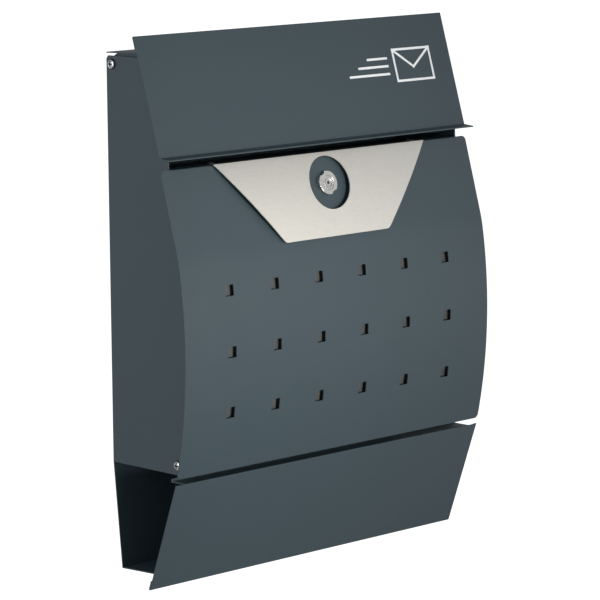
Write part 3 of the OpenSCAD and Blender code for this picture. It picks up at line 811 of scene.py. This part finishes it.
class MAILBOX_OT_window(bpy.types.Operator):
    """Finish the plastic sheet behind the holes"""

    bl_idname = "mailbox.window"
    bl_label = "Window sheet"

    def execute(self, context):
        dress("window", "window_sheet")
        return {"FINISHED"}


class MAILBOX_OT_pictogram(bpy.types.Operator):
    """Print the envelope pictogram on the lid"""

    bl_idname = "mailbox.pictogram"
    bl_label = "Pictogram"

    def execute(self, context):
        dress("print", "lid_pictogram")
        return {"FINISHED"}


# ---------------------------------------------------------------- stage


def area_light(name, spot, target, width, height, power, colour=(1, 1, 1)):
    """A soft rectangular light that faces its target."""
    data = bpy.data.lights.new(name, "AREA")
    data.shape = "RECTANGLE"
    data.size, data.size_y = width, height
    data.energy = power
    data.color = colour
    light = bpy.data.objects.new(name, data)
    bpy.context.scene.collection.objects.link(light)
    light.location = spot
    light.rotation_mode = "QUATERNION"
    light.rotation_quaternion = (Vector(target) - Vector(spot)).to_track_quat("-Z", "Y")
    return light


class MAILBOX_OT_stage(bpy.types.Operator):
    """Set the camera, the soft lights and the pale floor"""

    bl_idname = "mailbox.stage"
    bl_label = "Stage"

    def execute(self, context):
        self.camera(context)
        self.floor()
        self.lights(context)
        return {"FINISHED"}

    def camera(self, context):
        yaw, pitch, roll = (math.radians(a) for a in CAMERA_TURN)
        look = Vector((math.sin(yaw) * math.cos(pitch), math.cos(yaw) * math.cos(pitch),
                       -math.sin(pitch)))
        right = Vector((math.cos(yaw), -math.sin(yaw), 0))
        up = right.cross(look)
        across_view = math.cos(roll) * right + math.sin(roll) * up
        up_view = math.cos(roll) * up - math.sin(roll) * right
        data = bpy.data.cameras.new("camera")
        data.lens = stage_settings().lens
        data.sensor_width = SENSOR_WIDTH
        data.clip_start, data.clip_end = 0.1, 200
        camera = bpy.data.objects.new("camera", data)
        context.scene.collection.objects.link(camera)
        turn = Matrix((across_view, up_view, -look)).transposed().to_4x4()
        camera.matrix_world = Matrix.Translation(place(*CAMERA_AT)) @ turn
        context.scene.camera = camera

    def floor(self):
        bm = bmesh.new()
        bmesh.ops.create_grid(bm, x_segments=FLOOR_CELLS, y_segments=FLOOR_CELLS,
                              size=FLOOR_HALF)
        bmesh.ops.translate(bm, verts=bm.verts[:], vec=(0, 0, place(0, FLOOR_Z).z))
        mesh = bpy.data.meshes.new("floor")
        bm.to_mesh(mesh)
        bm.free()
        floor = bpy.data.objects.new("floor", mesh)
        bpy.context.scene.collection.objects.link(floor)
        pale = Shader("pale_floor", (0.75, 0.75, 0.75), 0.8)
        pale.bsdf.inputs["Emission Color"].default_value = (1, 1, 1, 1)
        behind = pale.tree.nodes.new("ShaderNodeSeparateXYZ")
        pale.link(pale.mapped(turn=(0, 0, FLOOR_TURN)), behind.inputs["Vector"])
        pale.link(pale.spread(behind.outputs["Y"], *FLOOR_GLOW),
                  pale.bsdf.inputs["Emission Strength"])
        pale.bsdf.inputs["Specular IOR Level"].default_value = 0.1
        mesh.materials.append(pale.material)

    def lights(self, context):
        world = bpy.data.worlds.new("studio")
        world.use_nodes = True
        backdrop = world.node_tree.nodes["Background"]
        backdrop.inputs["Color"].default_value = (0.97, 0.985, 1, 1)
        backdrop.inputs["Strength"].default_value = stage_settings().world_light
        context.scene.world = world
        context.scene.view_settings.view_transform = "Standard"
        key = area_light("key", KEY_AT, place(*KEY_AIM), KEY_SIDE, KEY_SIDE,
                         stage_settings().key_light, KEY_COLOUR)
        key.data.spread = KEY_SPREAD
        for name, spot, width, height, power in PANELS:
            area_light(name, spot, place(*PANEL_AIM), width, height, power)


# ---------------------------------------------------------------- panel


class MAILBOX_PT_panel(bpy.types.Panel):
    """Sidebar panel with a button for each group of pieces"""

    bl_idname = "MAILBOX_PT_panel"
    bl_label = "Wall mailbox"
    bl_space_type = "VIEW_3D"
    bl_region_type = "UI"
    bl_category = "Mailbox"

    def draw(self, context):
        for operator in OPERATORS:
            self.layout.operator(operator.bl_idname)
        for group in ("mailbox_sizes", "mailbox_colours", "mailbox_stage"):
            settings = getattr(context.scene, group)
            for key in settings.__annotations__:
                self.layout.prop(settings, key)


OPERATORS = (
    MAILBOX_OT_body, MAILBOX_OT_lid, MAILBOX_OT_door, MAILBOX_OT_holder, MAILBOX_OT_trim,
    MAILBOX_OT_lock, MAILBOX_OT_fittings, MAILBOX_OT_window, MAILBOX_OT_pictogram,
    MAILBOX_OT_stage,
)
SETTINGS = (MailboxSizes, MailboxColours, MailboxStage)


def register():
    for cls in SETTINGS + OPERATORS + (MAILBOX_PT_panel,):
        bpy.utils.register_class(cls)
    scene = bpy.types.Scene
    scene.mailbox_sizes = bpy.props.PointerProperty(type=MailboxSizes)
    scene.mailbox_colours = bpy.props.PointerProperty(type=MailboxColours)
    scene.mailbox_stage = bpy.props.PointerProperty(type=MailboxStage)


def unregister():
    for key in ("mailbox_sizes", "mailbox_colours", "mailbox_stage"):
        delattr(bpy.types.Scene, key)
    for cls in reversed(SETTINGS + OPERATORS + (MAILBOX_PT_panel,)):
        bpy.utils.unregister_class(cls)


def main():
    register()
    for operator in OPERATORS:
        getattr(bpy.ops.mailbox, operator.bl_idname.split(".")[1])()


if __name__ == "__main__":
    main()
